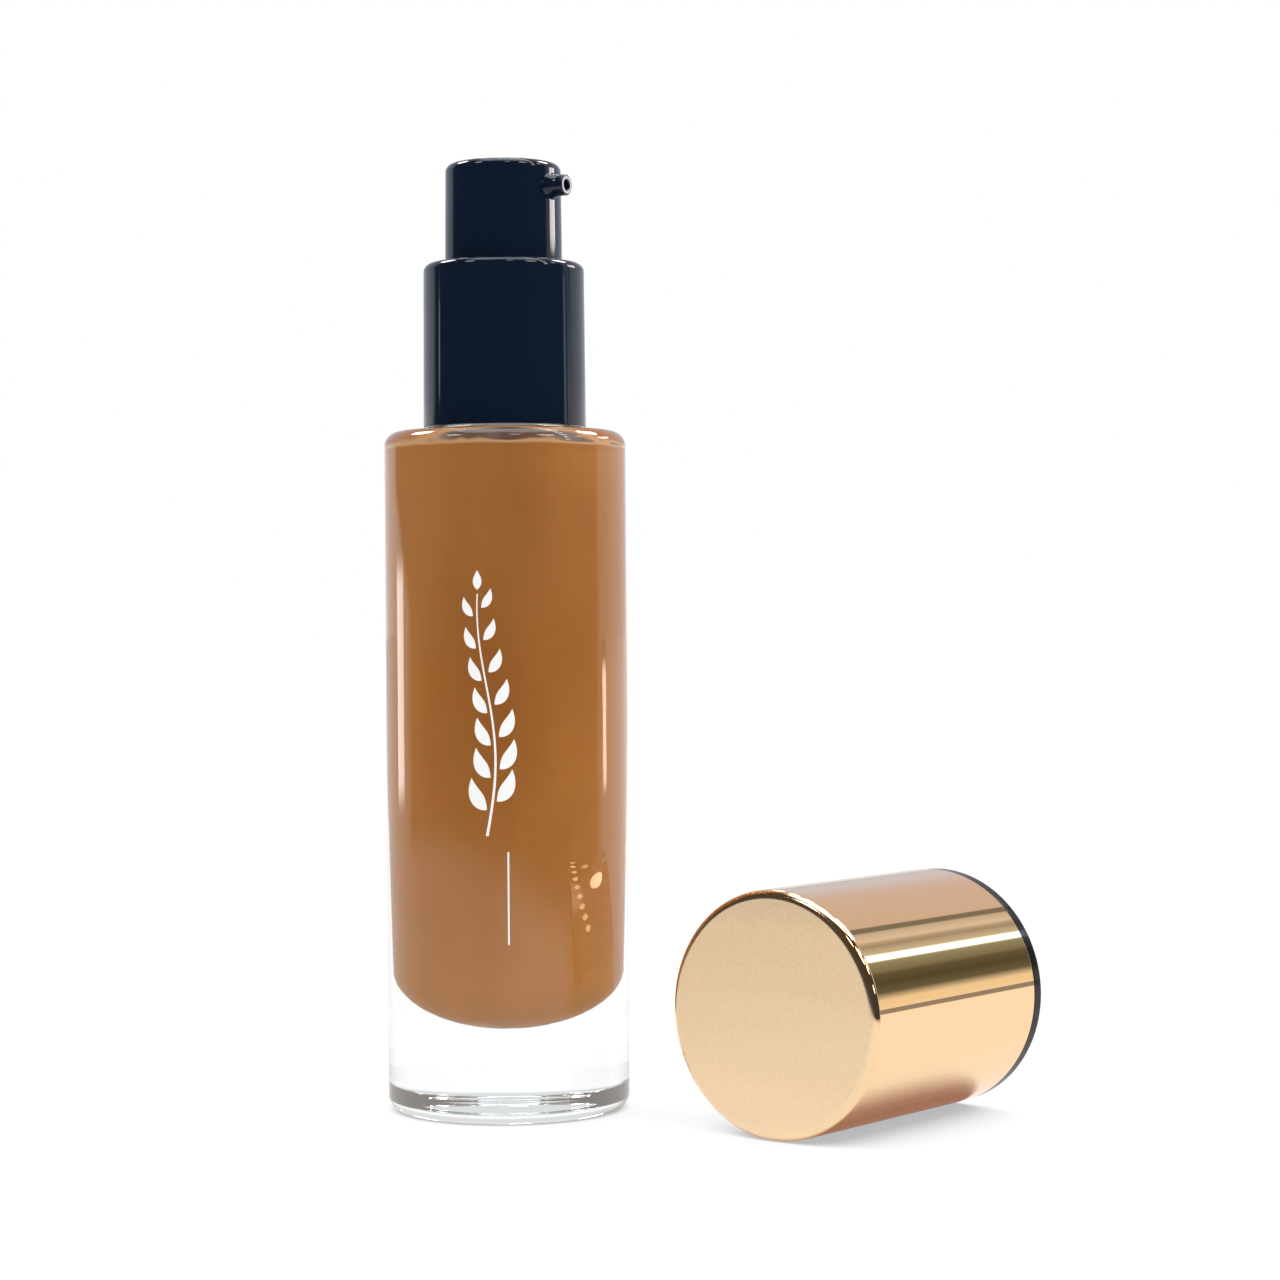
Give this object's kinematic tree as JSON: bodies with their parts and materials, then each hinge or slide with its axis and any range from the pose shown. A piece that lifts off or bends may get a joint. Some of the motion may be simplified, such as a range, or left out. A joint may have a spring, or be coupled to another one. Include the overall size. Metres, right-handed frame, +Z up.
{
  "type": "pump foundation bottle",
  "caption": "Round heavy-base glass bottle with a screw-on treatment pump, black collar and side-spout head, and a gold overcap lying beside it.",
  "frame": {"origin": "centre of the bottle's flat base on the table", "axes": "+Z up along the bottle's axis; +X towards the side where the overcap lies; -Y towards the viewer"},
  "size_m": [0.0831, 0.052, 0.1212],
  "materials": {
    "clear_glass": "clear flint glass, fire-polished",
    "foundation_liquid": "opaque caramel-brown liquid foundation",
    "black_gloss_plastic": "glossy near-black moulded plastic with a navy cast",
    "black_liner_plastic": "satin black moulded plastic",
    "gold_metal": "mirror-bright anodised aluminium, pale rose gold",
    "closure_polypropylene": "white polypropylene moulding",
    "natural_polypropylene": "natural translucent polypropylene",
    "white_acetal": "white acetal moulding",
    "piston_polyethylene": "soft polyethylene seal",
    "gasket_foam": "closed-cell foam washer",
    "tube_polyethylene": "translucent extruded tube",
    "spring_steel": "drawn stainless wire",
    "ball_steel": "polished stainless ball"
  },
  "bodies": {
    "bottle": {"bottle_glass": "clear_glass", "foundation_fill": "foundation_liquid"},
    "pump_engine": {"gasket": "gasket_foam", "pump_housing": "natural_polypropylene", "chaplet": "white_acetal", "dip_tube": "tube_polyethylene", "return_spring": "spring_steel"},
    "screw_closure": {"closure": "closure_polypropylene", "collar_cover": "black_gloss_plastic"},
    "plunger": {"stem": "white_acetal", "piston_rod": "white_acetal"},
    "piston": {"piston": "piston_polyethylene"},
    "inlet_valve": {"inlet_ball": "ball_steel"},
    "actuator": {"actuator": "black_gloss_plastic"},
    "cap": {"cap_shell": "gold_metal", "cap_liner": "black_liner_plastic"}
  },
  "joints": [
    {"name": "pump_lift", "type": "slide", "parent": "bottle", "child": "pump_engine", "axis": [0, 0, 1], "range_m": [0, 0.00397]},
    {"name": "closure_unscrew", "type": "hinge", "parent": "pump_engine", "child": "screw_closure", "pos_m": [0, 0, 0.0972], "axis": [0, 0, 1], "range_deg": [0, 452]},
    {"name": "actuator_press", "type": "slide", "parent": "pump_engine", "child": "plunger", "axis": [0, 0, -1], "range_m": [0, 0.004], "stiffness_N_per_m": 700, "springref_m": -0.008, "deforming": ["return_spring"]},
    {"name": "actuator_turn", "type": "hinge", "parent": "plunger", "child": "actuator", "pos_m": [0, 0, 0.112], "axis": [0, 0, 1], "continuous": true},
    {"name": "piston_slip", "type": "slide", "parent": "plunger", "child": "piston", "axis": [0, 0, 1], "range_m": [0, 0.0008]},
    {"name": "inlet_ball_lift", "type": "slide", "parent": "pump_engine", "child": "inlet_valve", "axis": [0, 0, 1], "range_m": [0, 0.0009]},
    {"name": "cap_tip_up", "type": "hinge", "parent": "bottle", "child": "cap", "pos_m": [0.05601, 0.00193, 0], "axis": [-0.7826, 0.6225, 0], "range_deg": [0, 90]}
  ],
  "couplings": [
    {"joint": "closure_unscrew", "follows": "pump_lift", "rad_per_m": 1979}
  ]
}
